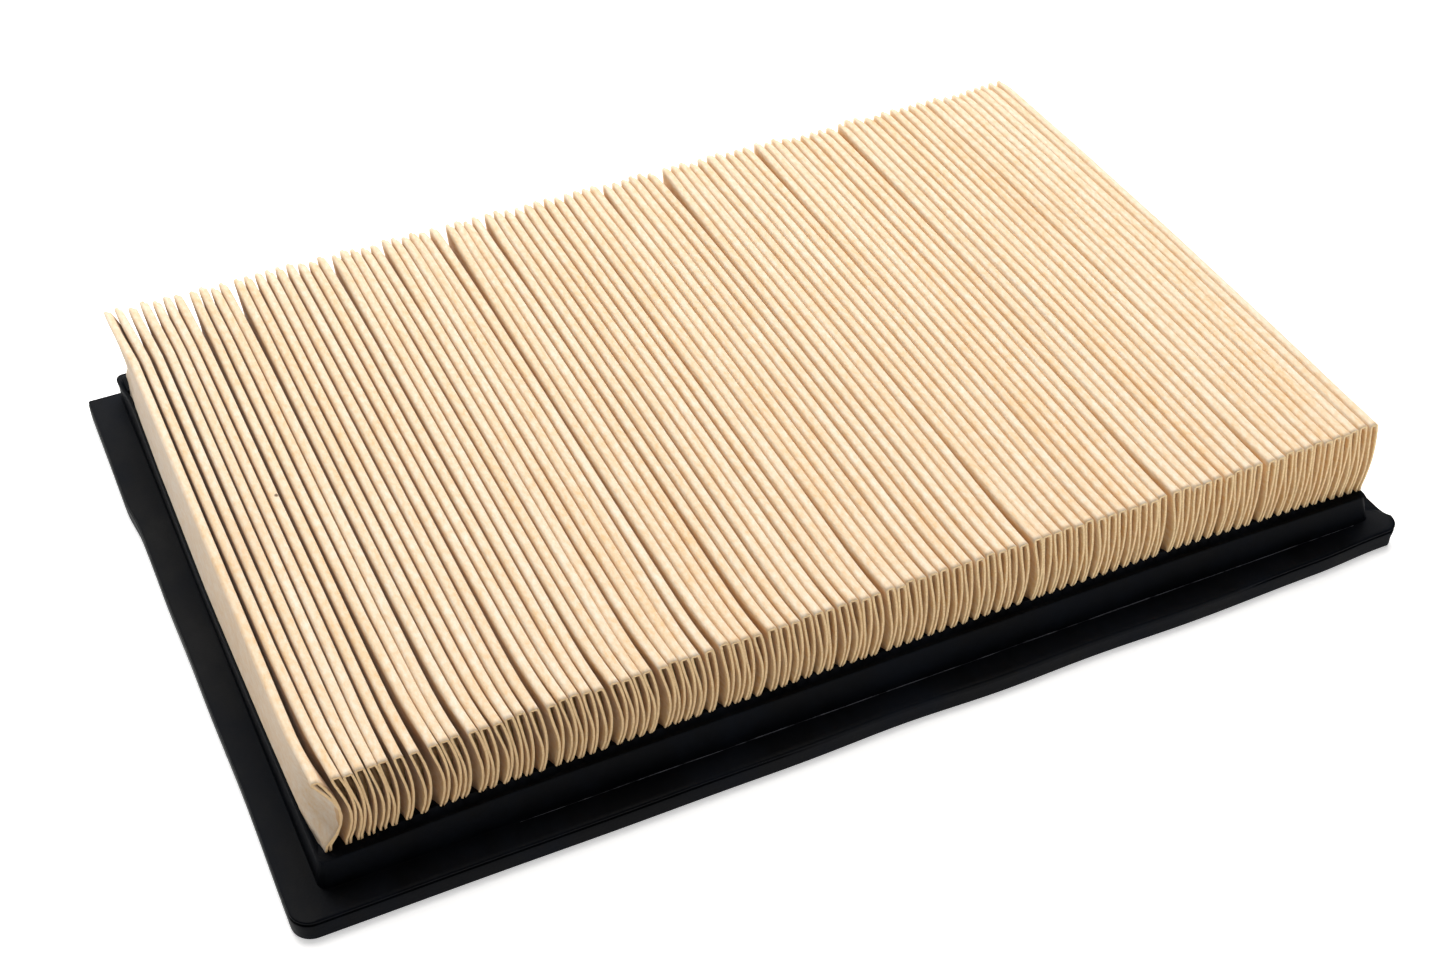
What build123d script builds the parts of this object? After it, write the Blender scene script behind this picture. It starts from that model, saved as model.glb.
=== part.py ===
from build123d import *

import math
import os

# Panel air filter: a pleated paper pack cast into a soft polyurethane frame.
#
# One long strip of filter paper is folded into upright pleats that stand above
# the frame. The foot of the pack, and the last few millimetres of each pleat
# end, are cast into the frame. Above the casting, a strip of adhesive closes
# each pleat a little way in from its cut end. A screen of crossed wires lies
# under the lower folds, with its wire ends cast into the frame's ledge.
#
# Millimetres. +X runs across the pleats along the long side, +Y along the
# pleats, +Z up. The origin is the middle of the underside, so the flange lies
# on z = 0 and the pleats stand on top.

# Pleated paper
PLEAT_COUNT = 92
PLEAT_PITCH = 3.08
CROWN_WIDTH = 2.3  # outside width of an upper fold
PAPER = 0.55  # thickness of the paper
PLEAT_LENGTH = 186.0  # cut width of the strip, along Y
CROWN_TOP = 36.8
FOLD_BOTTOM = 2.8  # underside of the lower folds

# Cast frame
FLANGE_LENGTH = 300.0  # along X
FLANGE_WIDTH = 208.0
FLANGE_THICK = 6.0
FLANGE_CORNER = 5.0
FLANGE_EDGE = 0.8  # rounding of the rim
NOTCH_LENGTH = 12.0  # locating notch in the rear left corner, along X, in as far as the wall
WALL_TOP = 15.0
WALL_BEYOND_PACK = 2.4  # wall thickness at its top, outside the paper
WALL_DRAFT = 8.0  # degrees that the outside of the wall leans in
WALL_CORNER = 2.5  # radius of the wall's upright corners, at the top
WALL_EDGE = 0.7  # rounding of the wall's top edge
POTTING_DEPTH = 5.0  # how far the casting reaches in along the pleats
POTTING_TOP = 14.0
LEDGE_DEPTH = 4.0  # ledge under the first and last pleats

# Adhesive that closes each pleat above the casting
SEAL_SETBACK = 3.0  # from the cut end
SEAL_WIDTH = 2.0

# Screen of crossed wires
WIRE = 0.9
WIRE_SPACING = 12.7
WIRE_HOLD = 2.0  # length of each wire end inside the casting

# Worked out from the above
PACK_X = (PLEAT_COUNT * PLEAT_PITCH - (PLEAT_PITCH - CROWN_WIDTH)) / 2
PACK_Y = PLEAT_LENGTH / 2
WINDOW_X = PACK_X - LEDGE_DEPTH  # half the clear opening underneath
WINDOW_Y = PACK_Y - POTTING_DEPTH
CROWN_UNDERSIDE = CROWN_TOP - PAPER
WALL_SPREAD = (WALL_TOP - FLANGE_THICK) * math.tan(math.radians(WALL_DRAFT))
WALL_FOOT_X = PACK_X + WALL_BEYOND_PACK + WALL_SPREAD
WALL_FOOT_Y = PACK_Y + WALL_BEYOND_PACK + WALL_SPREAD


def crown_x(i):
    """Middle of upper fold i, counted from the -X end."""
    return (i - (PLEAT_COUNT - 1) / 2) * PLEAT_PITCH


def folded_section():
    """Outline of the folded strip: its upper surface, then back along its lower one."""
    half = CROWN_WIDTH / 2
    upper = []
    lower = []
    for i in range(PLEAT_COUNT):
        left = crown_x(i) - half
        right = crown_x(i) + half
        left_foot = FOLD_BOTTOM if i == 0 else FOLD_BOTTOM + PAPER
        right_foot = FOLD_BOTTOM if i == PLEAT_COUNT - 1 else FOLD_BOTTOM + PAPER
        upper += [(left, left_foot), (left, CROWN_TOP)]
        upper += [(right, CROWN_TOP), (right, right_foot)]
        lower += [(left + PAPER, FOLD_BOTTOM), (left + PAPER, CROWN_UNDERSIDE)]
        lower += [(right - PAPER, CROWN_UNDERSIDE), (right - PAPER, FOLD_BOTTOM)]
    return upper + lower[::-1]


def pleated_media():
    """The folded strip, one continuous sheet of paper."""
    outline = Polyline(*folded_section(), close=True)
    return extrude(Plane.XZ * make_face(outline), PACK_Y, both=True)


def edge_seals(end):
    """One adhesive strip inside each pleat; end is -1 at the front and 1 at the back."""
    slot = CROWN_WIDTH - 2 * PAPER
    strip = Box(slot, SEAL_WIDTH, CROWN_UNDERSIDE - POTTING_TOP)
    y = end * (PACK_Y - SEAL_SETBACK - SEAL_WIDTH / 2)
    z = (CROWN_UNDERSIDE + POTTING_TOP) / 2
    strips = [Pos(crown_x(i), y, z) * strip for i in range(PLEAT_COUNT)]
    return Compound(children=strips)


def wires(half_length, half_spread, z, turn):
    """Parallel wires along X, spaced evenly across Y inside half_spread, then turned about Z."""
    spaces = int(2 * half_spread / WIRE_SPACING)
    wire = Cylinder(WIRE / 2, 2 * half_length, rotation=(0, 90, 0))
    rows = [(n - spaces / 2) * WIRE_SPACING for n in range(spaces + 1)]
    return Compound(children=[Rot(0, 0, turn) * Pos(0, y, z) * wire for y in rows])


def long_wires():
    """Wires that run across the pleats and touch their lower folds."""
    return wires(WINDOW_X + WIRE_HOLD, WINDOW_Y, FOLD_BOTTOM - WIRE / 2, 0)


def cross_wires():
    """Wires that run along the pleats, laid under the long wires."""
    return wires(WINDOW_Y + WIRE_HOLD, WINDOW_X, FOLD_BOTTOM - 1.5 * WIRE, 90)


def block(half_x, half_y, low, high):
    """A plain block on the Z axis, from low to high."""
    return Pos(0, 0, (low + high) / 2) * Box(2 * half_x, 2 * half_y, high - low)


def flange():
    """The sealing rim that an airbox clamps, its outer edges rounded and one corner notched."""
    outline = RectangleRounded(FLANGE_LENGTH, FLANGE_WIDTH, FLANGE_CORNER)
    plate = extrude(outline, FLANGE_THICK)
    faces = plate.faces().sort_by(Axis.Z)
    plate = fillet(faces[0].edges() + faces[-1].edges(), FLANGE_EDGE)
    notch_width = FLANGE_WIDTH / 2 - WALL_FOOT_Y
    towards_middle = (Align.MIN, Align.MAX, Align.MIN)
    notch = Box(NOTCH_LENGTH, notch_width, FLANGE_THICK, align=towards_middle)
    return plate - Pos(-FLANGE_LENGTH / 2, FLANGE_WIDTH / 2, 0) * notch


def wall():
    """The wall round the foot of the pack, leaning in towards its top."""
    outline = RectangleRounded(2 * WALL_FOOT_X, 2 * WALL_FOOT_Y, WALL_CORNER + WALL_SPREAD)
    foot = Pos(0, 0, FLANGE_THICK) * outline
    body = extrude(foot, WALL_TOP - FLANGE_THICK, taper=WALL_DRAFT)
    return fillet(body.faces().sort_by(Axis.Z)[-1].edges(), WALL_EDGE)


def moulded_frame(cast_in):
    """Flange, wall, potting and ledge in one casting round the pieces cast into it."""
    body = flange() + wall()
    body -= block(WINDOW_X, WINDOW_Y, 0, FOLD_BOTTOM)
    body -= block(PACK_X, WINDOW_Y, FOLD_BOTTOM, WALL_TOP)
    body -= block(PACK_X, PACK_Y, POTTING_TOP, WALL_TOP)
    for piece in cast_in:
        body -= piece
    return body


nodes = {
    "pleated_media": pleated_media(),
    "front_edge_seals": edge_seals(-1),
    "rear_edge_seals": edge_seals(1),
    "screen_long_wires": long_wires(),
    "screen_cross_wires": cross_wires(),
}
cast_in = [nodes["pleated_media"], nodes["screen_long_wires"], nodes["screen_cross_wires"]]
nodes["moulded_frame"] = moulded_frame(cast_in)

os.makedirs("parts", exist_ok=True)
for name, shape in nodes.items():
    export_step(shape, f"parts/{name}.step")
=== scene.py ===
import math

import bpy
import numpy as np
from mathutils import Matrix, Vector


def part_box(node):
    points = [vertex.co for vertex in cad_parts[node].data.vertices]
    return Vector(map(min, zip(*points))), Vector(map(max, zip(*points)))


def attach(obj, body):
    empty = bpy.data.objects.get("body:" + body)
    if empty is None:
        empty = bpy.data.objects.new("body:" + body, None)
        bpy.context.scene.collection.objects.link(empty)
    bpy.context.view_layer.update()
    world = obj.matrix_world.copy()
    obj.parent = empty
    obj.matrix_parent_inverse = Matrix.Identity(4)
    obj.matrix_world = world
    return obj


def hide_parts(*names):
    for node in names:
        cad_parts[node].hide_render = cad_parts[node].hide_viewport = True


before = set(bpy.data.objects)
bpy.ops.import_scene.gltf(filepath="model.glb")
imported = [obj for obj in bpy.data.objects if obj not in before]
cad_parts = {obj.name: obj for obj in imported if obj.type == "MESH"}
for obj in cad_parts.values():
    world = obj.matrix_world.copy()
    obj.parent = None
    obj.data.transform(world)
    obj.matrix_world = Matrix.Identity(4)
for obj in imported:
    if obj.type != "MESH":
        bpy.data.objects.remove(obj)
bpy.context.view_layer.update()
mm = 0.001
scene = bpy.context.scene

packLow, packHigh = [np.array(corner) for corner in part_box("pleated_media")]
castLow, castHigh = [np.array(corner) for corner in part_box("moulded_frame")]
wallTop = castHigh[2]
packLength = packHigh[1] - packLow[1]
print("frame loaded, pack", (packHigh - packLow) / mm)


def smooth(x):
    # 3x^2 - 2x^3, held at 0 and 1 outside the range
    x = np.clip(x, 0, 1)
    return x * x * (3 - 2 * x)


def ramp(x, start, end):
    # 0 before start, 1 after end, smooth between
    return smooth((x - start) / (end - start))


def bell(x, middle, width):
    # 1 at the middle, falling away as exp(-((x - middle) / width)^2)
    return np.exp(-(((x - middle) / width) ** 2))


def meshFrom(name, points, faces):
    # points (..., 3) in metres, faces (m, 4) vertex numbers
    mesh = bpy.data.meshes.new(name)
    mesh.from_pydata(points.reshape(-1, 3), [], faces.reshape(-1, 4))
    mesh.polygons.foreach_set("use_smooth", np.ones(len(mesh.polygons), bool))
    mesh.update()
    piece = bpy.data.objects.new(name, mesh)
    scene.collection.objects.link(piece)
    return piece


def gridFaces(rows, columns, closeColumns=False, closeRows=False):
    # quads between neighbouring points of a rows x columns grid, wrapped round where asked
    index = np.arange(rows * columns).reshape(rows, columns)
    if closeColumns:
        index = np.concatenate([index, index[:, :1]], axis=1)
    if closeRows:
        index = np.concatenate([index, index[:1]], axis=0)
    return np.stack(
        [index[:-1, :-1], index[:-1, 1:], index[1:, 1:], index[1:, :-1]], axis=-1
    ).reshape(-1, 4)


def tubeFaces(shells, rings, around):
    # closed shells, each a run of rings with quads between them and across the first and last
    half = np.arange(around // 2 - 1)
    cap = np.stack([half, half + 1, around - 2 - half, around - 1 - half], axis=-1)
    sides = gridFaces(rings, around, closeColumns=True)
    one = np.concatenate([sides, cap[:, ::-1], cap + (rings - 1) * around])
    return (one + (np.arange(shells) * rings * around)[:, None, None]).reshape(-1, 4)


def joined(name, *shells):
    # one mesh from several (points, faces) pairs
    start = np.cumsum([0] + [points.size // 3 for points, faces in shells])
    allPoints = np.concatenate([points.reshape(-1, 3) for points, faces in shells])
    allFaces = np.concatenate([shell[1] + first for shell, first in zip(shells, start)])
    return meshFrom(name, allPoints, allFaces)


paper = {
    "pleats": 92,
    "thick": 0.55 * mm,
    "crownWidth": 2.44 * mm,     # outside width of an upper fold
    "leftRadius": 0.38 * mm,     # of the upper folds, at the middle of the paper
    "rightRadius": 0.28 * mm,
    "flatInset": 0.3 * mm,
    "crownDrop": 0.35 * mm,      # how much lower the lowest crowns are
    "unevenness": 0.04,          # share of a step by which the crowns stray
    "stray": 0.03,               # and by which they stray along their length
    "leastStep": 0.84,
    "lastSteps": ((9, 0.95), (3, 0.92)),  # tighter steps at the right, and their share of one
    "widthStray": 0.025,
    "heightStray": 0.05 * mm,
    "rearNarrow": 0.16,          # share of the crowns' width that is lost at the rear cut
    "rearNarrowReach": 3 * mm,
    "rearSink": (0.1, 0.9),      # how far a crown's left and right shoulders sink there
    "rearSinkReach": 2.6 * mm,
    "frontGaps": (0, 0, 5, 6, 7, 7, 10, 16, 21, 25, 29, 30, 34, 44, 57, 70, 79),
    "rearGaps": (6, 10, 19, 24, 29, 30, 30, 34, 46, 52, 52, 62, 71),
    "gapGrowth": 0.38,           # extra share of a step at each mention above
    "gapReach": 28 * mm,         # how far in from the cut ends a gap opens
    "bowLeft": 2.1 * mm,         # sideways bow of the cut ends
    "bowRight": 1.2 * mm,
    "bowReach": 16 * mm,
    "archTop": 0.94,             # how much of a half turn the bow's arch makes
    "archShape": 0.8,            # under 1 it bulges most below mid height
    "frontPinch": 12 * mm,       # how far in the two sheets of a pleat stay together
    "rearPinch": 6 * mm,
    "glueGap": 0.08 * mm,
    "pressSide": 0.75,           # the left sheet comes over to the right one, more than half way
    "slotFoot": (0.1, 0.3),      # share of the height where a pleat's two sheets start to part
    "slotGrow": (0.5, 0.66),     # and over which they part
    "pressShare": (0.6, 1),      # how fully they are pressed together
    "rearPressShare": (0.2, 1),
    "endSkew": 0.45 * mm,        # how far the crowns' cut ends run out of line
    "skewReach": 9 * mm,
    "panelBow": 3.6 * mm,        # extra bow of the first sheet at its cut ends
    "rearFlare": 2.1 * mm,       # how far the first crown's rear end stands out to the left
    "rearFlareReach": 26 * mm,
    "panelLean": 1.4 * mm,       # how far the first sheet's foot stands out at mid length
    "sideBulge": 1.2 * mm,       # the last sheet's bulge at mid length
    "flatLength": 6.36,          # developed length of the strip, in metres
    "seed": 11,
}
rowsFromEnd = np.array([0, 1.3, 3.2, 6, 10, 16, 25, 44]) * mm
rowY = np.concatenate([packLow[1] + rowsFromEnd, [0], packHigh[1] - rowsFromEnd[::-1]])
fromFront = (rowY - packLow[1])[:, None]
fromRear = (packHigh[1] - rowY)[:, None]
fromEnd = np.minimum(fromFront, fromRear)
midLength = np.sin(np.pi * fromFront / packLength)
levels = np.array([0.0, 0.22, 0.38, 0.46, 0.54, 0.62, 0.70, 0.78, 0.86, 0.94])
upColumns = len(levels) + 3
pleatColumns = 2 * upColumns + 2


def smoothAcross(values, width):
    # weighted running mean over neighbouring pleats, in every row
    weight = np.hanning(width + 2)[1:-1]
    padded = np.pad(values, ((0, 0), (width // 2, width // 2)), mode="reflect")
    windows = np.lib.stride_tricks.sliding_window_view(padded, width, axis=1)
    return windows @ (weight / weight.sum())


def strayCurves(random, count, waves):
    # one smooth random curve along Y for each pleat: a sum of sines that shrink as they shorten
    turns = np.arange(1, waves + 1)[:, None]
    size = random.standard_normal((waves, count)) / turns
    phase = random.uniform(0, 2 * np.pi, (waves, count))
    along = fromFront[..., None] / packLength
    return (size * np.sin(5.0 * turns * along + phase)).sum(1)


def wedges(pleats, distance):
    # extra steps that open towards a cut end, taken back from the neighbouring steps
    opening = np.zeros(paper["pleats"] - 1)
    np.add.at(opening, list(pleats), paper["gapGrowth"])
    grow = np.exp(-distance / paper["gapReach"]) * opening
    return grow - smoothAcross(grow, 9)


def crownPlaces(random):
    # middle of each upper fold in each row: uneven steps added up and scaled to the pack's length
    count = paper["pleats"]
    steps = 1 + paper["unevenness"] * random.standard_normal(count - 1)
    for last, share in paper["lastSteps"]:
        steps[-last:] *= share
    stray = np.diff(smoothAcross(strayCurves(random, count, 4), 3), axis=1)
    steps = steps + wedges(paper["frontGaps"], fromFront) + wedges(paper["rearGaps"], fromRear)
    steps = np.maximum(steps + paper["stray"] * stray, paper["leastStep"])
    places = np.cumsum(np.pad(steps, ((0, 0), (1, 0))), axis=1)
    room = packHigh[0] - packLow[0] - paper["crownWidth"] + paper["sideBulge"] * midLength
    return packLow[0] + paper["crownWidth"] / 2 + places / places[:, -1:] * room


def paperColumns():
    # each column of the sheet: its pleat, its side (-1 left sheet, 1 right sheet, 2 the next
    # pleat's left foot), its share of the height, and how far it has turned round a fold
    up = [(-1, level, 0.0) for level in levels] + [(-1, 1.0, 0.45), (-1, 1.0, 1.0), (-1, 1.0, 2.0)]
    down = [(1, level, turn) for side, level, turn in up[::-1]]
    one = np.array(up + down + [(1, 0.0, 1.0), (2, 0.0, 1.0)])
    pleat = np.repeat(np.arange(paper["pleats"]), len(one))
    return pleat[:-2], np.tile(one, (paper["pleats"], 1))[:-2]


def paperSheet():
    # middle surface of the folded strip, rows along Y and columns along the strip
    random = np.random.default_rng(paper["seed"])
    count = paper["pleats"]
    thick = paper["thick"]
    centre = crownPlaces(random)
    pleat, column = paperColumns()
    side, level, turn = column.T
    left = side < 0
    upper = level == 1.0

    # half width of the upper folds, which narrow a little from the right at the rear
    crownHalf = (paper["crownWidth"] - thick) / 2
    narrow = paper["rearNarrow"] * np.exp(-fromRear / paper["rearNarrowReach"])
    narrow = narrow * random.uniform(0.3, 1.3, count)
    half = crownHalf * (1 - narrow + paper["widthStray"] * strayCurves(random, count, 3))
    middle = centre - (crownHalf - half)

    # heights, level by level, and the round of the upper fold
    low = packLow[2] + thick / 2
    high = packHigh[2] - thick / 2
    top = high - paper["crownDrop"] * random.random(count) ** 2
    top = top + paper["heightStray"] * strayCurves(random, count, 3)
    topHere = top[:, pleat]
    bend = np.minimum(turn, 1) * np.pi / 2
    radius = np.where(left, paper["leftRadius"], paper["rightRadius"])
    z = low + (topHere - low) * level - np.where(upper, radius * (1 - np.sin(bend)), 0)
    # the right shoulder sinks at the rear cut, and the left one a little
    sink = np.exp(-fromRear / paper["rearSinkReach"]) * random.uniform(0.4, 1.5, count)[pleat] * mm
    leftSink, rightSink = paper["rearSink"]
    z = z - np.where(upper, np.where(side > 0, rightSink, leftSink), 0) * sink
    halfHere = half[:, pleat] - np.where(upper, radius * (1 - np.cos(bend)), 0.0)
    halfHere = halfHere - np.where(turn == 2.0, paper["flatInset"], 0)

    # near the cut ends the two sheets are pressed together below an open slot
    share = np.clip((z - wallTop) / (high - wallTop), 0, 1)
    slotFoot = random.uniform(*paper["slotFoot"], count)[pleat]
    slotTop = slotFoot + random.uniform(*paper["slotGrow"], count)[pleat]
    pressed = 1 - ramp(share, slotFoot, slotTop)
    pressed = pressed * ramp(z, low + 1 * mm, wallTop - 3 * mm)
    rearPress = random.uniform(*paper["rearPressShare"], count)[pleat]
    pressed = pressed * np.maximum(1 - ramp(fromFront, 3 * mm, paper["frontPinch"]),
                                   rearPress * (1 - ramp(fromRear, 3 * mm, paper["rearPinch"])))
    pressed = pressed * random.uniform(*paper["pressShare"], count)[pleat]
    together = thick / 2 + paper["glueGap"]
    drawn = (halfHere - np.minimum(together, halfHere)) * pressed
    halfHere = halfHere - drawn

    # sideways bow, most at the cut ends and on the left
    place = np.arange(count) / (count - 1)
    bowSize = paper["bowLeft"] + (paper["bowRight"] - paper["bowLeft"]) * smooth(place)
    bowSize = bowSize * random.uniform(0.75, 1.2, count)
    arch = np.sin(np.pi * (paper["archTop"] * share) ** paper["archShape"])
    nearEnd = np.maximum(1 - ramp(fromFront, 0, paper["bowReach"]),
                         0.35 * (1 - ramp(fromRear, 0, paper["bowReach"])))
    bow = bowSize[pleat] * arch * (0.2 + 0.8 * nearEnd)

    # the first pleat is the end panel: it curls in at its ends, and its foot stands out between
    curl = 1 - ramp(fromEnd, 0, 20 * mm)
    extra = np.where(pleat == 0, np.where(left, 1.0, 0.62), np.where(pleat == 1, 0.12, 0))
    bow = bow + extra * paper["panelBow"] * arch * curl
    lean = np.where((pleat == 0) & left, (1 - share) * ramp(z, low, wallTop), 0)
    bow = bow - paper["panelLean"] * lean * midLength

    # at the rear the first few pleats flare out to the left
    flare = 1 - ramp(fromRear, 0, paper["rearFlareReach"])
    flare = paper["rearFlare"] * np.exp(-pleat / 4) * flare
    bow = bow - flare * smooth(share) + drawn * paper["pressSide"]

    # lower folds, flat between one pleat's right sheet and the next one's left sheet
    x = middle[:, pleat] + np.where(left, -1, 1) * halfHere + bow
    follows = np.minimum(pleat + 1, count - 1)
    x = np.where(side == 2, middle[:, follows] - half[:, follows], x)
    foot = (level == 0.0) & (turn == 1.0)
    x = x + np.where(foot, np.where(side == 2, -1, 1), 0) * 0.2 * mm
    z = np.where((level == 0.0) & (turn == 0.0), low + 0.25 * mm, z)
    z = z + 0 * x

    # the crowns' cut ends run a little out of line
    skew = random.uniform(-1, 1, (2, count))[:, pleat] * paper["endSkew"] * np.array([[1], [2]])
    reach = paper["skewReach"]
    slide = skew[0] * np.exp(-fromFront / reach) + skew[1] * np.exp(-fromRear / reach)
    y = rowY[:, None] + slide * ramp(share, 0, 1)
    return np.stack([x, y, z], axis=-1)


def sheetNormals(sheet):
    # cross product of the directions along and across the grid
    normal = np.cross(np.gradient(sheet, axis=1), np.gradient(sheet, axis=0))
    return normal / np.linalg.norm(normal, axis=-1, keepdims=True)


def buildPaper(sheet):
    # two copies of the middle surface, half a thickness out each side, joined by a rim
    offset = sheetNormals(sheet) * paper["thick"] / 2
    offset[..., 1] = 0
    rows, columns = sheet.shape[:2]
    total = rows * columns
    index = np.arange(total).reshape(rows, columns)
    rim = np.concatenate([index[0], index[1:, -1], index[-1, -2::-1], index[-2:0:-1, 0]])
    nextRim = np.roll(rim, -1)
    grid = gridFaces(rows, columns)
    faces = [
        grid,
        (grid + total)[:, ::-1],
        np.stack([rim, rim + total, nextRim + total, nextRim], axis=-1),
    ]
    points = np.stack([sheet + offset, sheet - offset])
    piece = meshFrom("foldedPaper", points, np.concatenate(faces))
    # kinds of face: 0 folded paper, 1 bare cut edge, 2 the end panel
    kind = np.zeros((2, rows - 1, columns - 1), np.int32)
    kind[:, :, :len(levels)] = 2
    kind = np.concatenate([kind.ravel(), np.ones(len(rim), np.int32)])
    piece.data.polygons.foreach_set("use_smooth", kind != 1)
    return piece, kind


sheet = paperSheet()
foldedPaper, faceKind = buildPaper(sheet)
stripLength = np.linalg.norm(np.diff(sheet[len(rowY) // 2], axis=0), axis=-1).sum()
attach(foldedPaper, "root")
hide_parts("pleated_media")
print("folded paper,", len(foldedPaper.data.polygons) * 2, "triangles, strip", stripLength, "m")


def addSeals(name, node, rows):
    # in every pleat, a strip that fills the space between the sheets from row to row of the sheet
    whole = np.concatenate([sheet, sheet[:, -2:]], axis=1)  # evens out the last pleat
    byPleat = whole[list(rows)].reshape(len(rows), paper["pleats"], pleatColumns, 3)
    inside = np.array([paper["thick"] / 2 * 0.9, 0, 0])
    left = byPleat[:, :, 2:len(levels) + 1] + inside
    right = byPleat[:, :, upColumns + 2:2 * upColumns - 2][:, :, ::-1] - inside
    left[:, :, -1, 2] = np.minimum(left[:, :, -1, 2], right[:, :, -1, 2])
    right[:, :, -1, 2] = left[:, :, -1, 2]
    rings = np.concatenate([left, right[:, :, ::-1]], axis=2).transpose(1, 0, 2, 3)
    seals = meshFrom(name, rings, tubeFaces(*rings.shape[:3]))
    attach(seals, "root")
    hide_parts(node)
    return seals


frontSeals = addSeals("frontSeals", "front_edge_seals", (2, 3))
rearSeals = addSeals("rearSeals", "rear_edge_seals", (-4, -3))
print("adhesive strips ready")


cast = {
    "flangeThick": 6.0 * mm,
    "endTop": 0.9,             # wall beyond the pack at the ends, top and foot, in millimetres
    "endFoot": 1.8,
    "sideTop": 2.4,            # and at the long sides
    "sideFoot": 3.6,
    "shiftX": -1.3 * mm,       # the flange sits a little to the left of the pack
    "rimWave": 0.3 * mm,       # unevenness of the rim
    "crease": 0.4 * mm,        # depth of the groove under the flange's upper edge
    "notchX": 138.0 * mm,      # relief at the rear left corner of the flange
    "notchY": 96.7 * mm,
    "runSteps": (150, 110),    # points along the short and long sides
    "cornerSteps": 10,
    "climb": 0.7 * mm,         # how far the casting climbs the paper
    "scallop": 1.0 * mm,       # and how much further between two pleats
    "sharpCorner": 1.8 * mm,   # radius of the front right corner, tighter than the others
    "standOut": 0.9 * mm,      # how far the wall's ends stand out half way along them
    "endsFrom": 139 * mm,      # the wall's ends lie beyond this
    "drops": (                 # dips in the wall's top: x, y, depth and reach, in millimetres
        (-143, -96, 1.3, 24),
        (143, -96, 1.2, 34),
        (-146, 98, 2.2, 12),
    ),
    "leftEndDrop": 1.1,        # and half way along its left end
    "blob": (-146 * mm, 98 * mm),
    "blobReach": 9 * mm,
    "blobOut": 1.6,            # in millimetres, as the tip's and the lean below
    "tip": (148.6 * mm, -100.5 * mm),
    "tipReach": 2.8 * mm,
    "tipOut": 2.9,
    "tipUnder": 1.5,
    "tipRise": 0.7,
    "rightLean": 0.6,
    "leftSwell": 1.1 * mm,     # bumps and hollows of the rim
    "rightHollow": 0.5 * mm,
    "frontDraw": 1.5 * mm,
    "flashHeight": 0.35 * mm,
    "seed": 4,
}


def castProfile():
    # rings from the inner ledge, out under the flange, over its rim and up the wall:
    # reach past the pack at the ends, reach at the long sides, corner radius, height, and
    # shares of the rim's unevenness and of the groove, in millimetres
    rx = (castHigh[0] - packHigh[0]) / mm
    ry = (castHigh[1] - packHigh[1]) / mm
    top = wallTop / mm
    flange = cast["flangeThick"] / mm
    endTop, endFoot = cast["endTop"], cast["endFoot"]
    sideTop, sideFoot = cast["sideTop"], cast["sideFoot"]
    return np.array([
        (-3.9, -4.9, 1.0, 2.9, 0, 0),
        (-3.9, -4.9, 1.0, 0.4, 0, 0),
        (-3.5, -4.5, 1.5, 0.0, 0, 0),
        (0.0, 0.0, 2.5, 0.0, 0.2, 0),
        (rx * 0.5, ry * 0.5, 3.5, 0.0, 0.6, 0),
        (rx - 1.0, ry - 1.0, 4.2, 0.0, 1, 0),
        (rx - 0.35, ry - 0.35, 4.8, 0.1, 1, 0),
        (rx - 0.08, ry - 0.08, 5.0, 0.4, 1, 0),
        (rx, ry, 5.0, 0.9, 1, 0),
        (rx, ry, 5.0, 2.8, 1, 0),
        (rx, ry, 5.0, flange - 1.5, 1, 0),
        (rx, ry, 5.0, flange - 1.25, 1, 0.15),
        (rx - 0.05, ry - 0.05, 5.0, flange - 1.05, 1, 1),
        (rx - 0.08, ry - 0.08, 5.0, flange - 0.8, 1, 1),
        (rx - 0.12, ry - 0.12, 5.0, flange - 0.55, 1, 0.1),
        (rx - 0.2, ry - 0.2, 5.0, flange - 0.3, 1, -0.1),
        (rx - 0.4, ry - 0.4, 4.8, flange - 0.08, 1, 0),
        (rx - 0.8, ry - 0.8, 4.5, flange, 1, 0),
        (rx - 1.6, ry - 1.6, 4.2, flange, 1, 0),
        (rx * 0.7, ry * 0.7, 3.6, flange, 0.6, 0),
        (endFoot + 0.7, sideFoot + 0.8, 3.0, flange, 0.1, 0),
        (endFoot + 0.12, sideFoot + 0.12, 2.7, flange + 0.02, 0, 0),
        (endFoot, sideFoot, 2.6, flange + 0.15, 0, 0),
        (endFoot - 0.06, sideFoot - 0.08, 2.5, flange + 0.6, 0, 0),
        (endTop + 0.35, sideTop + 0.4, 2.1, top - 3.0, 0, 0),
        (endTop + 0.06, sideTop + 0.06, 1.9, top - 0.6, 0, 0),
        (endTop, sideTop, 1.8, top - 0.25, 0, 0),
        (endTop - 0.12, sideTop - 0.12, 1.7, top - 0.06, 0, 0),
        (endTop - 0.35, sideTop - 0.4, 1.5, top, 0, 0),
        (0.3, 0.7, 0.9, top, 0, 0),
        (0.0, 0.1, 0.6, top - 0.1, 0, 0),
        (-0.6, -0.8, 0.4, top - 0.6, 0, 0),
        (-0.7, -2.5, 0.4, top - 0.9, 0, 0),
        (-0.8, -4.9, 0.4, top - 1.0, 0, 0),
        (-0.8, -5.0, 0.4, 3.0, 0, 0),
    ])


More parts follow.
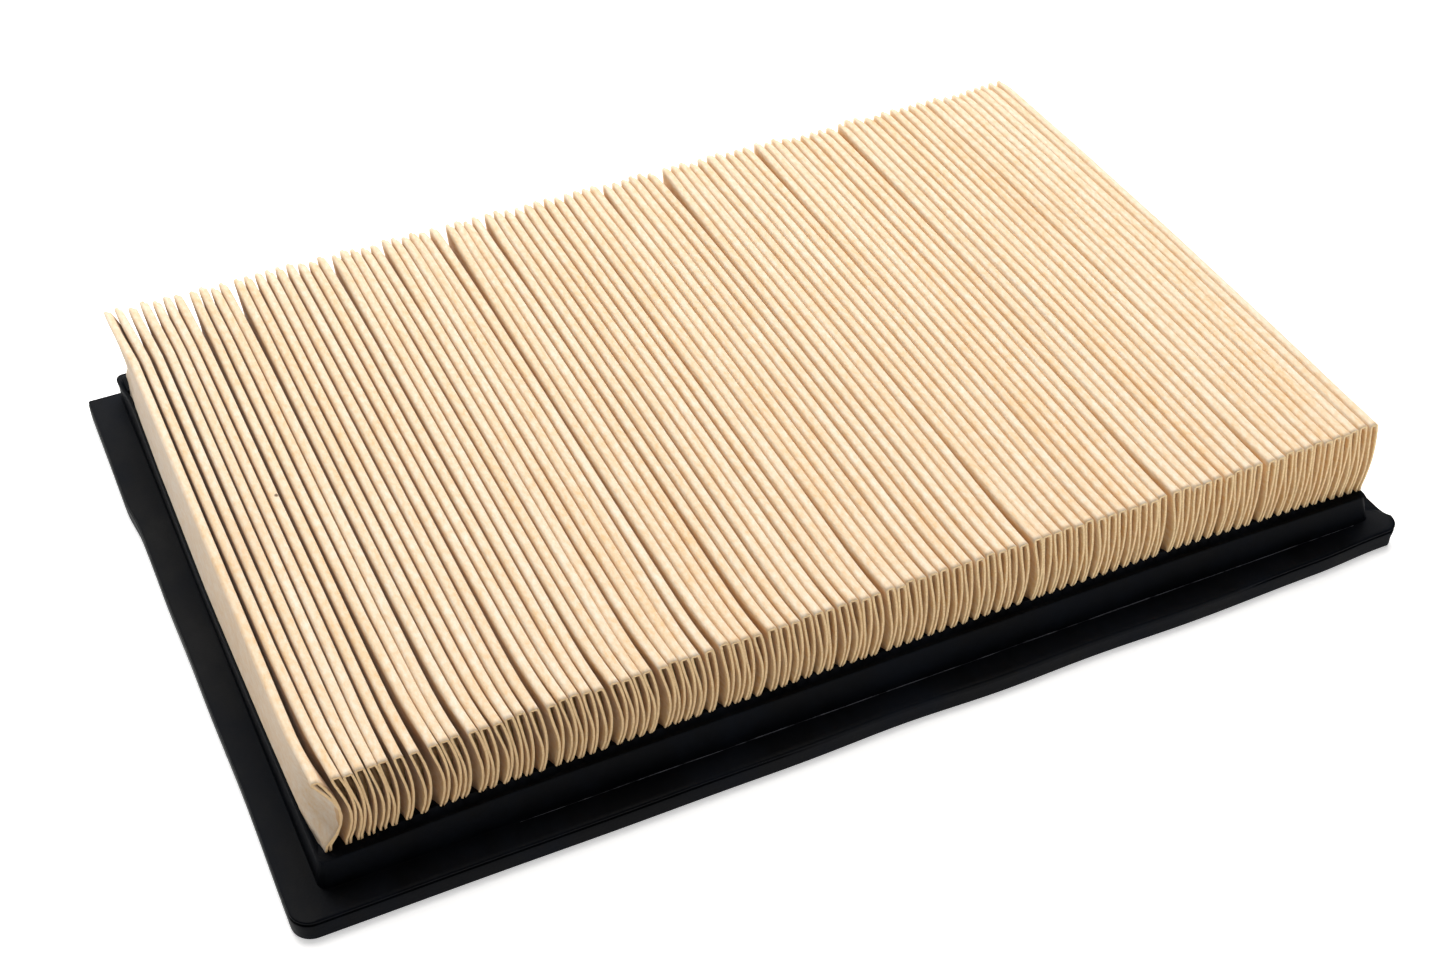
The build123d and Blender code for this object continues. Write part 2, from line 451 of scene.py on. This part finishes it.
def roundedRings(lowX, highX, lowY, highY, radius):
    # one rounded rectangle for each ring: a quarter turn at each corner, then a straight run.
    # Points crowd towards the corners: x = 0.3 s + 0.7 (1 - cos(pi s)) / 2 along each run.
    shortSteps, longSteps = cast["runSteps"]
    turn = np.linspace(0, np.pi / 2, cast["cornerSteps"] + 1)
    sharp = np.minimum(radius, cast["sharpCorner"])
    corners = [
        (highX - sharp, lowY + sharp, sharp, -np.pi / 2, shortSteps),
        (highX - radius, highY - radius, radius, 0, longSteps),
        (lowX + radius, highY - radius, radius, np.pi / 2, shortSteps),
        (lowX + radius, lowY + radius, radius, np.pi, longSteps),
    ]
    arcs = [
        np.stack([x[:, None] + r[:, None] * np.cos(start + turn),
                  y[:, None] + r[:, None] * np.sin(start + turn)], axis=-1)
        for x, y, r, start, steps in corners
    ]
    parts = []
    for number, arc in enumerate(arcs):
        s = np.arange(1, corners[number][4]) / corners[number][4]
        s = 0.3 * s + 0.35 * (1 - np.cos(np.pi * s))
        here, there = arc[:, -1:], arcs[(number + 1) % 4][:, :1]
        parts += [arc, here + (there - here) * s[:, None]]
    return np.concatenate(parts, axis=1)


def cutNotch(points):
    # columns beyond the notch's side are drawn in to its front, and the two beside it lie on it
    x, y = points[..., 0], points[..., 1]
    beyond = (x[9] < -cast["notchX"]) & (y[9] > 0)
    first = np.flatnonzero(beyond)[0]
    for column in (first - 1, first):
        x[y[:, column] > cast["notchY"], column] = -cast["notchX"]
    y[:, beyond] = np.minimum(y[:, beyond], cast["notchY"])


def halfWay(y):
    # 0 at the pack's cut ends and 1 between them: the sine of pi times the share of its length
    return np.sin(np.pi * np.clip((y - packLow[1]) / packLength, 0, 1))


def cornerDrop(x, y):
    # how much lower the wall's top is near three of its corners and half way along the left end
    corners = sum(depth * bell(np.hypot(x - atX * mm, y - atY * mm), 0, reach * mm)
                  for atX, atY, depth, reach in cast["drops"])
    leftEnd = cast["leftEndDrop"] * np.where(x < -cast["endsFrom"], halfWay(y), 0)
    return (corners + leftEnd) * mm


def flangeAndWall():
    ends, sides, radius, height, rim, groove = castProfile().T
    shift = cast["shiftX"] * rim
    rings = roundedRings(packLow[0] - ends * mm + shift, packHigh[0] + ends * mm + shift,
                         packLow[1] - sides * mm, packHigh[1] + sides * mm, radius * mm)
    x, y = rings[9, :, 0], rings[9, :, 1]
    # the rim wanders in and out: a sum of sines of the place round the ring
    random = np.random.default_rng(cast["seed"])
    angle = np.arctan2(y * 1.4, x)
    turns = np.arange(3, 22)[:, None]
    size = random.standard_normal((19, 1)) / turns**0.7
    wave = (size * np.sin(turns * angle + 6 * random.random((19, 1)))).sum(0)
    # the left rim swells towards the rear, the right one is hollow beside the front corner,
    # and the front one draws back towards that corner
    bumps = np.where(x < -148 * mm, cast["leftSwell"] * ramp(y, 38 * mm, 52 * mm), 0)
    hollow = cast["rightHollow"] * bell(y, -90 * mm, 6 * mm)
    bumps = bumps - np.where(x > 145 * mm, hollow, 0)
    drawn = cast["frontDraw"] * ramp(x, 122 * mm, 147 * mm)
    bumps = bumps - np.where(y < -99 * mm, drawn, 0)
    # the groove runs along the front at both ends and fades at the middle
    onFront = y < -99 * mm
    ends = 1 - ramp(x, -60 * mm, -10 * mm) + ramp(x, 96 * mm, 108 * mm)
    grooved = np.where(onFront, ends, 0.6)
    outward = rings[9] - rings[3]
    outward /= np.linalg.norm(outward, axis=-1, keepdims=True)
    out = (cast["rimWave"] * wave + bumps) * rim[:, None]
    out = out - cast["crease"] * np.clip(grooved, 0, 1) * groove[:, None]
    rings = rings + outward * out[..., None]
    z = np.repeat(height[:, None] * mm, rings.shape[1], axis=1)
    points = np.concatenate([rings, z[..., None]], axis=-1)
    # the front right corner turns up to a point at its top and is undercut below
    tipX, tipY = cast["tip"]
    tip = bell(np.hypot(x - tipX, y - tipY), 0, cast["tipReach"]) * rim[:, None]
    upper = ramp(z, 2.8 * mm, 5.8 * mm)
    points[..., 0] += tip * (cast["tipOut"] * upper - cast["tipUnder"]) * mm
    points[..., 2] += tip * upper * cast["tipRise"] * mm
    # the wall's top dips in places, and bulges at the rear left corner
    onWall = ramp(z, 10 * mm, 14 * mm)
    points[..., 2] -= onWall * cornerDrop(x, y)
    blobX, blobY = cast["blob"]
    nearBlob = bell(np.hypot(x - blobX, y - blobY), 0, cast["blobReach"])
    points[..., 0] -= onWall * cast["blobOut"] * mm * nearBlob
    # half way along its ends the wall stands out with the paper that it holds
    standsOut = np.where(np.abs(x) > cast["endsFrom"], np.sign(x) * halfWay(y), 0)
    points[..., 0] += ramp(z, 7 * mm, 13 * mm) * cast["standOut"] * standsOut
    # and it leans in near the front right corner
    nearRight = bell(np.hypot(x - 143 * mm, y + 98 * mm), 0, 30 * mm)
    points[..., 0] -= ramp(z, 6.1 * mm, 8 * mm) * cast["rightLean"] * mm * nearRight
    cutNotch(points)
    return points, gridFaces(*z.shape, closeColumns=True, closeRows=True)


def crest(end):
    # the casting climbs the paper's cut ends, highest midway between two pleats; end is -1 or 1
    row = 0 if end < 0 else -1
    whole = np.concatenate([sheet[row], sheet[row, -2:]])
    byPleat = whole.reshape(paper["pleats"], pleatColumns, 3)
    tongues = byPleat[:, [2, 2 * upColumns - 3], 0].mean(1)
    x = np.linspace(packLow[0] - 0.3 * mm, packHigh[0] + 0.3 * mm, paper["pleats"] * 8)
    away = np.abs(x[:, None] - tongues).min(1) / (1.5 * mm)
    random = np.random.default_rng(cast["seed"] + end)
    uneven = np.interp(x, x[::40], random.uniform(0.6, 1.3, len(x[::40])))
    fade = ramp(x, -142 * mm, -112 * mm) * (1 - ramp(x, 112 * mm, 141 * mm))
    wave = cast["scallop"] * smooth(away) * uneven * (0.35 + 0.65 * fade)
    wave = wave * ramp(x[-1] - x, 0, 3 * mm) * ramp(x - x[0], 0, 3 * mm)
    climb = cast["climb"] * fade * uneven
    section = np.array([  # outwards from the cut ends, height over the wall, climb, scallop
        (2.2, -0.3, 0, 0), (1.3, 0.02, 0, 0), (0.6, 0.1, 0.4, 0.3), (0.15, 0.1, 1, 1),
        (-0.6, 0.1, 1, 1), (-2.6, -0.4, 0.5, 0.6), (-5.2, -1.2, 0, 0), (-5.2, -3, 0, 0),
        (-1.5, -3, 0, 0), (2.2, -3, 0, 0),
    ])
    out, height, byClimb, byWave = section.T
    y = end * (packHigh[1] + out * mm) + 0 * x[:, None]
    z = wallTop + height * mm + climb[:, None] * byClimb + wave[:, None] * byWave
    z = z - cornerDrop(x[:, None], y)
    points = np.stack([x[:, None] + 0 * z, y, z], axis=-1)
    if end < 0:
        points = points[:, ::-1]
    return points, tubeFaces(1, *z.shape)


def addCast(name, *shells):
    piece = joined(name, *shells)
    piece.data.set_sharp_from_angle(angle=math.radians(32))
    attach(piece, "root")
    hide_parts("moulded_frame")
    return piece


def flashLine():
    # a broken thread of flash where the wall meets the flange at the front
    random = np.random.default_rng(cast["seed"])
    x = np.linspace(-96 * mm, 138 * mm, 420)
    coarse = np.interp(x, x[::30], random.uniform(0.2, 1, 14))
    fine = np.interp(x, x[::6], random.uniform(0.3, 1, 70))
    height = cast["flashHeight"] * coarse * fine * ramp(x, -96 * mm, -40 * mm)
    height = height * (1 - ramp(x, 120 * mm, 138 * mm)) + 0.02 * mm
    y = packLow[1] - (cast["sideFoot"] + 0.35) * mm + 0.12 * mm * (coarse - 0.5)
    foot = cast["flangeThick"]
    ring = [(y - 0.14 * mm, foot - 0.1 * mm), (y + 0.14 * mm, foot - 0.1 * mm),
            (y + 0.05 * mm, foot + height), (y - 0.05 * mm, foot + height)]
    points = np.stack([np.stack([x, across, z + 0 * x], axis=-1) for across, z in ring], axis=1)
    return points, tubeFaces(1, len(x), 4)


castFrame = addCast("castFrame", flangeAndWall(), crest(-1), crest(1))
mouldFlash = addCast("mouldFlash", flashLine())
print("cast frame,", len(castFrame.data.polygons) * 2, "triangles")


screen = {
    "spacing": 12.7 * mm,
    "around": 8,
    "steps": 48,
    "wave": 0.12 * mm,       # sideways waviness of a wire
    "weld": 0.62 * mm,       # half width of a weld nugget
    "seed": 7,
}


def wireRows(node, along):
    # place of each wire across its own direction, its ends, its height and its radius
    low, high = [np.array(corner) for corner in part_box(node)]
    radius = (high[2] - low[2]) / 2
    count = round((high[1 - along] - low[1 - along] - 2 * radius) / screen["spacing"]) + 1
    places = np.linspace(low[1 - along] + radius, high[1 - along] - radius, count)
    return places, low[along], high[along], low[2] + radius, radius


def addWires(name, node, along):
    # circles carried along each wire's line, which wanders as a sum of two sines
    places, first, last, height, radius = wireRows(node, along)
    random = np.random.default_rng(screen["seed"] + along)
    t = np.linspace(first, last, screen["steps"])[None, :, None]
    phase = random.uniform(0, 6, (2, len(places), 1, 1))
    wander = np.sin(45 * t + phase[0]) + 0.5 * np.sin(130 * t + phase[1])
    angle = np.arange(screen["around"]) * 2 * np.pi / screen["around"]
    across = places[:, None, None] + screen["wave"] * wander + radius * np.cos(angle)
    z = height + radius * np.sin(angle) + 0 * across
    rings = np.stack([t + 0 * z, across, z] if along == 0 else [across, t + 0 * z, z], axis=-1)
    if along == 1:
        rings = rings[:, ::-1]
    wires = meshFrom(name, rings, tubeFaces(*rings.shape[:3]))
    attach(wires, "root")
    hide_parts(node)
    return wires


def addWelds():
    # a flattened ball at each crossing: rings of the sine of the angle down from its top
    rowsY, *_, upperZ, upperRadius = wireRows("screen_long_wires", 0)
    rowsX, *_, lowerZ, lowerRadius = wireRows("screen_cross_wires", 1)
    down = np.linspace(0.15, np.pi - 0.15, 5)[:, None]
    angle = np.arange(screen["around"]) * 2 * np.pi / screen["around"]
    size = screen["weld"]
    ball = np.stack([size * np.sin(down) * np.cos(angle), size * np.sin(down) * np.sin(angle),
                     0.42 * mm * np.cos(down) + 0 * angle], axis=-1)[::-1]
    x, y = [places.ravel() for places in np.meshgrid(rowsX, rowsY)]
    centre = np.stack([x, y, 0 * x + (upperZ - upperRadius + lowerZ + lowerRadius) / 2], axis=-1)
    points = centre[:, None, None] + ball
    welds = meshFrom("screenWelds", points, tubeFaces(*points.shape[:3]))
    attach(welds, "root")
    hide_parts("screen_cross_wires")
    return welds


longWires = addWires("longWires", "screen_long_wires", 0)
crossWires = addWires("crossWires", "screen_cross_wires", 1)
screenWelds = addWelds()
print("screen ready")


def newMaterial(name, **settings):
    material = bpy.data.materials.new(name)
    material.use_nodes = True
    shader = material.node_tree.nodes["Principled BSDF"]
    for socket, value in settings.items():
        shader.inputs[socket.replace("_", " ")].default_value = value
    return material


def objectPoints(material, stretch=(1, 1, 1)):
    # Object coordinates, stretched along each axis
    nodes, links = material.node_tree.nodes, material.node_tree.links
    mapping = nodes.new("ShaderNodeMapping")
    mapping.inputs["Scale"].default_value = stretch
    links.new(nodes.new("ShaderNodeTexCoord").outputs["Object"], mapping.inputs["Vector"])
    return mapping.outputs["Vector"]


def noise(material, scale, detail=3, stretch=(1, 1, 1), rough=0.55):
    # scale is the number of features in a metre
    texture = material.node_tree.nodes.new("ShaderNodeTexNoise")
    texture.inputs["Scale"].default_value = scale
    texture.inputs["Detail"].default_value = detail
    texture.inputs["Roughness"].default_value = rough
    material.node_tree.links.new(objectPoints(material, stretch), texture.inputs["Vector"])
    return texture.outputs["Fac"]


def remap(material, value, fromLow, fromHigh, toLow, toHigh):
    # value carried from one range to another, and held inside it
    node = material.node_tree.nodes.new("ShaderNodeMapRange")
    for socket, number in zip(list(node.inputs)[1:5], (fromLow, fromHigh, toLow, toHigh)):
        socket.default_value = number
    material.node_tree.links.new(value, node.inputs[0])
    return node.outputs[0]


def blendColours(material, factor, first, second, mode="MIX"):
    # first and second are colours or sockets
    node = material.node_tree.nodes.new("ShaderNodeMix")
    node.data_type = "RGBA"
    node.blend_type = mode
    links = material.node_tree.links
    for number, value in ((0, factor), (6, first), (7, second)):
        if isinstance(value, bpy.types.NodeSocket):
            links.new(value, node.inputs[number])
        else:
            node.inputs[number].default_value = value
    return node.outputs[2]


def combine(material, operation, first, second):
    node = material.node_tree.nodes.new("ShaderNodeMath")
    node.operation = operation
    for number, value in enumerate((first, second)):
        if isinstance(value, bpy.types.NodeSocket):
            material.node_tree.links.new(value, node.inputs[number])
        else:
            node.inputs[number].default_value = value
    return node.outputs[0]


def finish(material, colour=None, roughness=None, height=None, depth=0.05 * mm):
    # colour, roughness and bump height go to the shader
    nodes, links = material.node_tree.nodes, material.node_tree.links
    shader = nodes["Principled BSDF"]
    if colour is not None:
        links.new(colour, shader.inputs["Base Color"])
    if roughness is not None:
        links.new(roughness, shader.inputs["Roughness"])
    if height is not None:
        bump = nodes.new("ShaderNodeBump")
        bump.inputs["Distance"].default_value = depth
        bump.inputs["Strength"].default_value = 1.0
        links.new(height, bump.inputs["Height"])
        links.new(bump.outputs["Normal"], shader.inputs["Normal"])
    return material


paperLook = {
    "pale": (0.83, 0.72, 0.58, 1),
    "warm": (0.75, 0.52, 0.29, 1),
    "stain": (0.56, 0.34, 0.16, 1),
    "cut": (1.0, 0.77, 0.45, 1),
    "cutPaintedShadeLeft": (0.76, 0.54, 0.30, 1),
    "cutGrain": (0.62, 0.41, 0.20, 1),
    # painted shade of the flanks, from left to right, and of the end panel
    "leftPaintedShade": (0.62, 0.46, 0.28, 1),
    "rightPaintedShade": (1.0, 0.81, 0.51, 1),
    "panelPaintedShade": (0.74, 0.74, 0.76, 1),
    "speck": (-0.1206, 0.0007, 0.0366),
    "speckSize": 0.75 * mm,
    "speckColour": (0.06, 0.03, 0.015, 1),
    "fibreScale": 900,         # features in a metre
    "mottleScale": 120,
    "fibreShare": 0.62,        # how much each pattern counts in the tone
    "mottleShare": 0.13,
    "pleatShare": 0.25,
    "stainDepth": 0.18,
    "paintedShadeTop": 36.3 * mm,     # height over which the crowns' colour gives way to the painted shade of the flanks
    "paintedShadeFoot": 34.6 * mm,
    "paintedShadeDepth": 0.85,
}


def placeAlong(material, axis, start, end, most=1):
    # 0 at start and most at end of a stretch of one axis of Object coordinates
    split = material.node_tree.nodes.new("ShaderNodeSeparateXYZ")
    material.node_tree.links.new(objectPoints(material), split.inputs[0])
    return remap(material, split.outputs[axis], start, end, 0, most)


def paintedFlankShade(material, crowns, isPanel):
    # painted shade: the flanks below the crowns are darker and warmer, lighter to the right where
    # more light falls, and the end panel greyer where it stands in shade
    down = placeAlong(material, 2, paperLook["paintedShadeTop"], paperLook["paintedShadeFoot"],
                      paperLook["paintedShadeDepth"])
    if isPanel:
        shade = paperLook["panelPaintedShade"]
    else:
        shade = blendColours(material, placeAlong(material, 0, -140 * mm, 120 * mm),
                             paperLook["leftPaintedShade"], paperLook["rightPaintedShade"])
    return blendColours(material, down, crowns, shade, "MULTIPLY")


def paperMaterial(name, isPanel=False):
    # fibres and mottling between two tans, a few resin stains, one dark speck, and painted shade
    # on the flanks
    material = newMaterial(name, Roughness=0.85, Sheen_Weight=0.15, Sheen_Roughness=0.5)
    material.node_tree.nodes["Principled BSDF"].inputs["Specular IOR Level"].default_value = 0.2
    fibres = noise(material, paperLook["fibreScale"], 4, (1.0, 0.45, 1.0), 0.7)
    mottle = noise(material, paperLook["mottleScale"], 3)
    byPleat = noise(material, 1.0, 1, (330, 9, 0))
    tone = combine(material, "ADD",
                   combine(material, "MULTIPLY", fibres, paperLook["fibreShare"]),
                   combine(material, "MULTIPLY", mottle, paperLook["mottleShare"]))
    tone = combine(material, "ADD", tone,
                   combine(material, "MULTIPLY", byPleat, paperLook["pleatShare"]))
    colour = blendColours(material, remap(material, tone, 0.36, 0.64, 0, 1),
                          paperLook["pale"], paperLook["warm"])
    blotches = noise(material, 42, 4, (1, 0.35, 1), 0.6)
    stain = remap(material, blotches, 0.62, 0.75, 0, paperLook["stainDepth"])
    colour = blendColours(material, stain, colour, paperLook["stain"])
    colour = paintedFlankShade(material, colour, isPanel)
    links, nodes = material.node_tree.links, material.node_tree.nodes
    distance = nodes.new("ShaderNodeVectorMath")
    distance.operation = "DISTANCE"
    links.new(objectPoints(material), distance.inputs[0])
    distance.inputs[1].default_value = paperLook["speck"]
    size = paperLook["speckSize"]
    speck = remap(material, distance.outputs["Value"], size * 0.5, size, 0.85, 0)
    colour = blendColours(material, speck, colour, paperLook["speckColour"])
    roughness = remap(material, mottle, 0.3, 0.7, 0.78, 0.92)
    return finish(material, colour, roughness, fibres, 0.06 * mm)


def cutEdgeMaterial():
    # the bare fibres of the cut, rougher than the faces, with painted shade darkening them towards
    # the left
    material = newMaterial("paperCut", Roughness=0.95, Specular_IOR_Level=0.1)
    grain = noise(material, 1800, 2)
    # painted shade: the cut edges darker to the left, lighter to the right where more light falls
    colour = blendColours(material, placeAlong(material, 0, -120 * mm, 60 * mm),
                          paperLook["cutPaintedShadeLeft"], paperLook["cut"])
    colour = blendColours(material, remap(material, grain, 0.35, 0.7, 0, 0.45),
                          colour, paperLook["cutGrain"])
    return finish(material, colour, None, grain, 0.08 * mm)


castLook = {
    "deep": (0.0006, 0.001, 0.002, 1),
    "worn": (0.003, 0.0045, 0.008, 1),
    "fleck": (0.75, 0.77, 0.8, 1),
    # painted highlight of the flash line
    "flashHighlight": (0.16, 0.17, 0.19, 1),
    "fleckScale": 90,
    "fleckRarity": 0.92,         # share of the cells that have none
    "fleckSize": (0.028, 0.04),  # radius and soft edge, as shares of a cell
}


def castMaterial():
    # moulded skin: satin, faintly streaked, with a fine grain and rare pale flecks
    material = newMaterial("castPolyurethane", Specular_IOR_Level=0.05)
    skin = noise(material, 55, 5, (1, 0.6, 1), 0.65)
    grain = noise(material, 1500, 3)
    colour = blendColours(material, remap(material, skin, 0.4, 0.68, 0, 1),
                          castLook["deep"], castLook["worn"])
    nodes, links = material.node_tree.nodes, material.node_tree.links
    cells = nodes.new("ShaderNodeTexVoronoi")
    cells.inputs["Scale"].default_value = castLook["fleckScale"]
    links.new(objectPoints(material), cells.inputs["Vector"])
    separate = nodes.new("ShaderNodeSeparateColor")
    links.new(cells.outputs["Color"], separate.inputs[0])
    rare = combine(material, "GREATER_THAN", separate.outputs[0], castLook["fleckRarity"])
    near = remap(material, cells.outputs["Distance"], *castLook["fleckSize"], 1, 0)
    fleck = combine(material, "MULTIPLY", rare, near)
    colour = blendColours(material, fleck, colour, castLook["fleck"])
    height = combine(material, "ADD", combine(material, "MULTIPLY", grain, 0.3), skin)
    roughness = remap(material, skin, 0.35, 0.7, 0.42, 0.62)
    return finish(material, colour, roughness, height, 0.12 * mm)


def flashMaterial():
    # painted highlight: patches of the flash are lighter, standing for the glint along its ridge
    material = newMaterial("castFlash", Roughness=0.5)
    patches = noise(material, 260, 3)
    colour = blendColours(material, remap(material, patches, 0.4, 0.6, 0, 1),
                          castLook["worn"], castLook["flashHighlight"])
    return finish(material, colour)


glueAndSlotShade = {
    # amber of the glue, darkened as painted shade of the slots
    "pale": (0.34, 0.21, 0.09, 1),
    "deep": (0.22, 0.13, 0.05, 1),
}


def glueMaterial():
    # cloudy amber hot melt, darkened further as painted shade for the deep slots that it sits in
    material = newMaterial("adhesive", Roughness=0.38, Subsurface_Weight=0.1)
    cloud = noise(material, 420, 3)
    colour = blendColours(material, remap(material, cloud, 0.35, 0.65, 0, 1),
                          glueAndSlotShade["pale"], glueAndSlotShade["deep"])
    return finish(material, colour, None, cloud, 0.1 * mm)


wireLook = {
    "bright": (0.62, 0.64, 0.66, 1),
    "dull": (0.42, 0.43, 0.44, 1),
}


def wireMaterial():
    # zinc coat with dull patches
    material = newMaterial("galvanisedWire", Metallic=1.0)
    spangle = noise(material, 500, 3)
    colour = blendColours(material, remap(material, spangle, 0.35, 0.65, 0, 1),
                          wireLook["bright"], wireLook["dull"])
    roughness = remap(material, spangle, 0.3, 0.7, 0.28, 0.5)
    return finish(material, colour, roughness, spangle, 0.03 * mm)


foldedPaper.data.materials.append(paperMaterial("filterPaper"))
foldedPaper.data.materials.append(cutEdgeMaterial())
# the end panel's copy of the paper differs only by its greyer painted shade
foldedPaper.data.materials.append(paperMaterial("endPanelPaper", isPanel=True))
foldedPaper.data.polygons.foreach_set("material_index", faceKind)
castFrame.data.materials.append(castMaterial())
mouldFlash.data.materials.append(flashMaterial())
glue = glueMaterial()
wireCoat = wireMaterial()
for piece in (frontSeals, rearSeals):
    piece.data.materials.append(glue)
for piece in (longWires, crossWires, screenWelds):
    piece.data.materials.append(wireCoat)
print("materials ready")


studio = {
    "overhead": {"place": (0.2, 0.75, 1.5), "size": (1.6, 1.6), "power": 51,
                 "colour": (1, 0.985, 0.96)},
    "backdrop": {"place": (-0.5, 1.5, 0.45), "size": (2.0, 0.8), "power": 5,
                 "colour": (1, 0.98, 0.97)},
    "front": {"place": (-0.1, -1.2, 0.85), "size": (1.2, 0.8), "power": 2,
              "colour": (1, 0.98, 0.96)},
    "world": 0.05,
    "floorReach": 15.0,
    "floor": (0.93, 0.93, 0.93, 1),
    "floorGlow": 0.5,
}


def buildStage():
    corners = np.array([(-1, -1, 0), (1, -1, 0), (1, 1, 0), (-1, 1, 0)]) * studio["floorReach"]
    floor = meshFrom("floor", corners, np.array([[0, 1, 2, 3]]))
    material = newMaterial("paleFloor", Base_Color=studio["floor"], Roughness=0.9,
                           Emission_Color=(1, 1, 1, 1), Emission_Strength=studio["floorGlow"])
    floor.data.materials.append(material)


def addLight(name):
    settings = studio[name]
    light = bpy.data.lights.new(name, "AREA")
    light.shape = "RECTANGLE"
    light.size, light.size_y = settings["size"]
    light.energy = settings["power"]
    light.color = settings["colour"]
    lamp = bpy.data.objects.new(name, light)
    scene.collection.objects.link(lamp)
    lamp.location = settings["place"]
    lamp.rotation_euler = Vector(settings["place"]).to_track_quat("Z", "Y").to_euler()


view = {
    "place": (-0.1847, -0.3989, 0.3854),
    "aim": (-0.0113, -0.0247, 0.020),
    "lens": 52.9,
    "roll": -0.25,   # degrees
}


def buildCamera():
    data = bpy.data.cameras.new("camera")
    data.sensor_width = 36
    data.lens = view["lens"]
    data.clip_start = 0.01
    camera = bpy.data.objects.new("camera", data)
    scene.collection.objects.link(camera)
    toward = (Vector(view["aim"]) - Vector(view["place"])).to_track_quat("-Z", "Y")
    roll = Matrix.Rotation(math.radians(view["roll"]), 3, "Z").to_quaternion()
    camera.rotation_mode = "QUATERNION"
    camera.rotation_quaternion = toward @ roll
    camera.location = view["place"]
    scene.camera = camera


def buildWorld():
    scene.world = bpy.data.worlds.new("studio")
    scene.world.use_nodes = True
    background = scene.world.node_tree.nodes["Background"]
    background.inputs["Color"].default_value = (1, 1, 1, 1)
    background.inputs["Strength"].default_value = studio["world"]


buildStage()
addLight("overhead")
addLight("backdrop")
addLight("front")
buildWorld()
buildCamera()
scene.view_settings.view_transform = "Standard"
print("stage ready")
